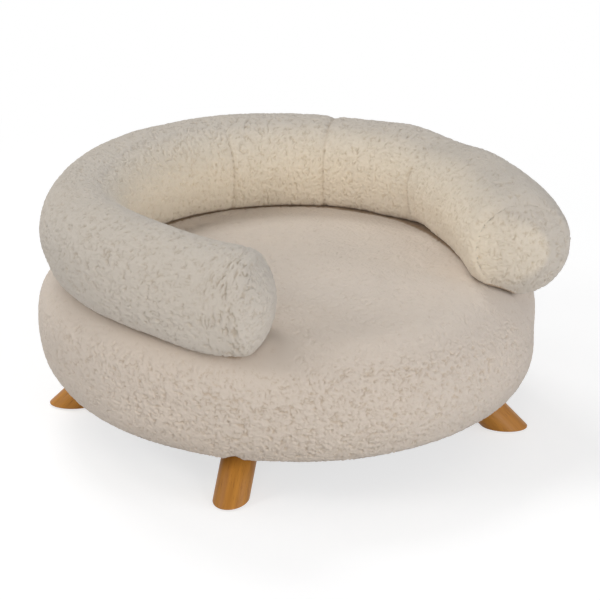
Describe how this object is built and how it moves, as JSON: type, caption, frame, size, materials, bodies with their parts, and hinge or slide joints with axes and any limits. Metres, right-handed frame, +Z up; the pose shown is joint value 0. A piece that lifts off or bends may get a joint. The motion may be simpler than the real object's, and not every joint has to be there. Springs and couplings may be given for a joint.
{
  "type": "dog sofa bed",
  "caption": "Round padded pet sofa bed on slanted wooden legs, with a C-shaped stuffed bolster round the back and sides and an open front.",
  "frame": {"origin": "on the floor, at the bottom centre of the whole bed's bounding box, below the middle of the round seat", "axes": "+Z up; the bolster opens towards -Y, which is the front where the pet steps on; +X is to the right seen from the front"},
  "size_m": [0.6655, 0.663, 0.3365],
  "materials": {
    "curly_pile": "matte",
    "leg_wood": "satin",
    "plywood": "matte",
    "zinc_steel": "satin",
    "staple_wire": "satin",
    "dark_plastic": "matte",
    "foam": "matte",
    "wadding": "matte",
    "dust_cloth": "matte",
    "thread": "matte"
  },
  "bodies": {
    "root": {"base_board": "plywood", "tee_nuts": "zinc_steel", "hanger_bolts": "zinc_steel", "leg_front_left": "leg_wood", "leg_front_right": "leg_wood", "leg_rear_left": "leg_wood", "leg_rear_right": "leg_wood", "foot_glide_front_left": "dark_plastic", "foot_glide_front_right": "dark_plastic", "foot_glide_rear_left": "dark_plastic", "foot_glide_rear_right": "dark_plastic", "seat_foam": "foam", "seat_wadding": "wadding", "seat_top_panel": "curly_pile", "seat_side_panel_front": "curly_pile", "seat_side_panel_rear": "curly_pile", "cover_staples": "staple_wire", "dust_cover": "dust_cloth", "dust_cover_staples": "staple_wire", "bolster_filling": "wadding", "bolster_panel_left_arm": "curly_pile", "bolster_panel_left_side": "curly_pile", "bolster_panel_back_left": "curly_pile", "bolster_panel_back_right": "curly_pile", "bolster_panel_right_side": "curly_pile", "bolster_panel_right_arm": "curly_pile", "bolster_end_cap_left": "curly_pile", "bolster_end_cap_right": "curly_pile", "bolster_stitches": "thread"}
  },
  "joints": []
}
